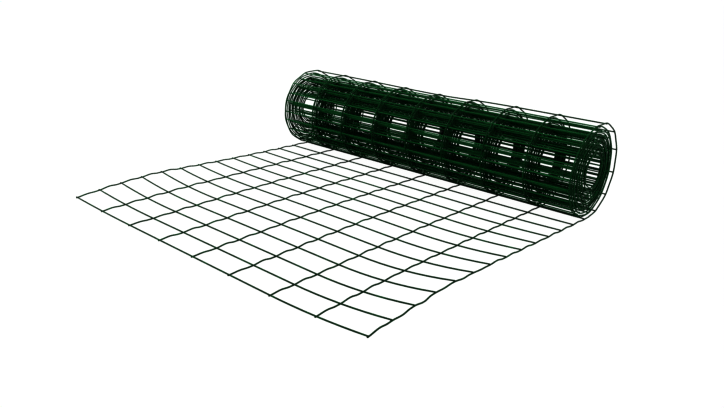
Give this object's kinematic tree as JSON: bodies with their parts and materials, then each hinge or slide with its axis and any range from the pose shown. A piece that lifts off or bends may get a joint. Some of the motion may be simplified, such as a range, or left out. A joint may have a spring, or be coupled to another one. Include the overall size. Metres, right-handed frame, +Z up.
{
  "type": "roll of wire fencing",
  "caption": "Roll of plastic-coated welded wire fencing lying on the floor, its free end drawn out flat and its outermost turn loose.",
  "frame": {"origin": "on the floor, at the middle of the whole object's footprint", "axes": "+X along the roll's axis, +Y from the free end of the sheet towards the roll, +Z up"},
  "size_m": [0.8026, 0.7689, 0.1947],
  "materials": {
    "green_coating": "satin dark green PVC coating on steel wire"
  },
  "bodies": {
    "root": {"rolled_mesh": "green_coating", "flat_mesh": "green_coating", "loose_turn": "green_coating"}
  },
  "joints": []
}
